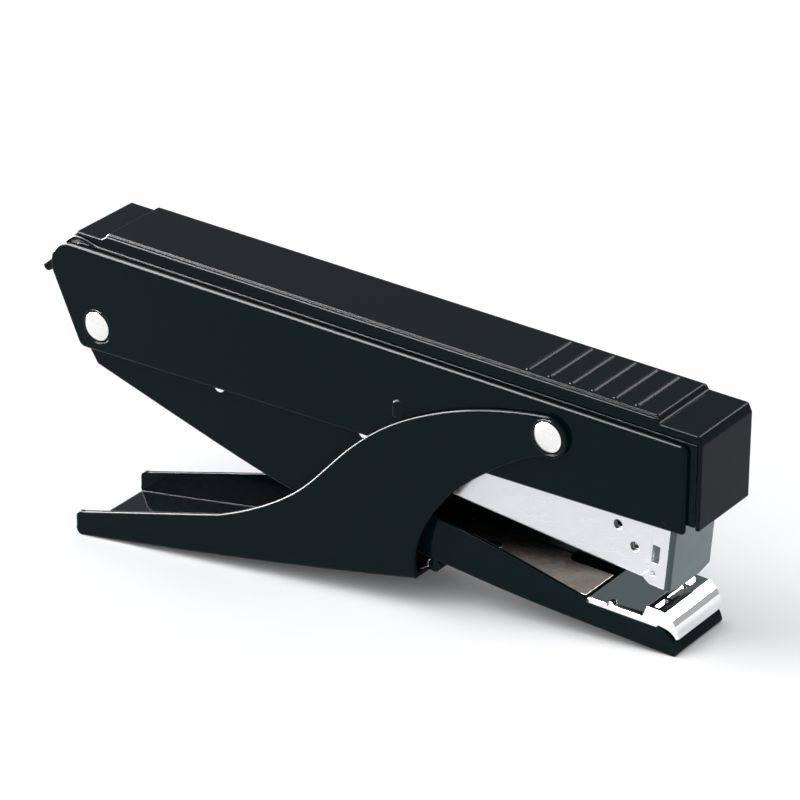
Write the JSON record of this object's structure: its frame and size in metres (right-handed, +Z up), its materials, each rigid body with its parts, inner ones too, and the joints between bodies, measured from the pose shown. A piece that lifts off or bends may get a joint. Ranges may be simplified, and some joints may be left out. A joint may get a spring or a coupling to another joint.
{
  "type": "plier stapler",
  "caption": "Hand-held plier stapler in black painted pressed steel with a bright magazine, squeezing lever and anvil arm.",
  "frame": {"origin": "on the surface the tool stands on, below the middle of its length, in its plane of symmetry", "axes": "+X forward towards the anvil end, +Y to the left, +Z up; it stands on the handle's heel and the arm's tip, with its top leaning nose-down by about 8 degrees"},
  "size_m": [0.1878, 0.0286, 0.0813],
  "materials": {
    "black_paint": "smooth gloss black enamel on pressed sheet steel",
    "bright_plate": "bright nickel plating",
    "polished_steel": "polished domed heads",
    "plain_steel": "plain cold-rolled steel",
    "spring_steel": "grey-brown tempered spring steel",
    "staple_wire": "galvanised wire, glued in a strip"
  },
  "bodies": {
    "frame": {"side_plate_right": "black_paint", "side_plate_left": "black_paint", "front_pin": "polished_steel", "rear_pin": "polished_steel", "front_spacer": "plain_steel", "ear_washers": "plain_steel"},
    "cover": {"top_cover": "black_paint", "inner_channel": "black_paint", "driver_blade": "plain_steel", "blade_rivets": "plain_steel"},
    "magazine": {"magazine_channel": "bright_plate", "nose_plate": "bright_plate", "exit_guide": "spring_steel", "staple_track": "plain_steel", "staple_rail": "plain_steel", "staple_strip": "staple_wire", "rear_bracket": "plain_steel", "front_bracket": "plain_steel", "guide_rod": "plain_steel", "pusher_spring": "spring_steel"},
    "pusher": {"pusher": "plain_steel"},
    "arm": {"anvil_arm": "black_paint", "arm_rivets": "polished_steel", "anvil_plate": "bright_plate", "arm_leaf": "spring_steel", "leaf_rivet": "polished_steel", "return_spring": "spring_steel"},
    "handle": {"handle": "black_paint"}
  },
  "joints": [
    {"name": "handle_squeeze", "type": "hinge", "parent": "frame", "child": "handle", "pos_m": [0.05463, 0, 0.05067], "axis": [0, 1, 0], "range_deg": [0, 11.2], "stiffness_Nm_per_rad": 1.5, "springref_deg": -20.05, "deforming": ["return_spring"]},
    {"name": "arm_close", "type": "hinge", "parent": "frame", "child": "arm", "pos_m": [-0.07762, 0, 0.05739], "axis": [0, -1, 0], "range_deg": [0, 4.22]},
    {"name": "magazine_press", "type": "hinge", "parent": "frame", "child": "magazine", "pos_m": [-0.07762, 0, 0.05739], "axis": [0, -1, 0], "range_deg": [0, 2.7]},
    {"name": "cover_open", "type": "hinge", "parent": "frame", "child": "cover", "pos_m": [-0.07762, 0, 0.05739], "axis": [0, -1, 0], "range_deg": [0, 60]},
    {"name": "pusher_slide", "type": "slide", "parent": "magazine", "child": "pusher", "axis": [0.9759, 0, -0.2184], "range_m": [-0.045, 0], "stiffness_N_per_m": 30, "springref_m": 0.03, "deforming": ["pusher_spring"]}
  ],
  "couplings": [
    {"joint": "arm_close", "follows": "handle_squeeze", "ratio": 0.37679},
    {"joint": "magazine_press", "follows": "handle_squeeze", "ratio": 0.24107}
  ]
}
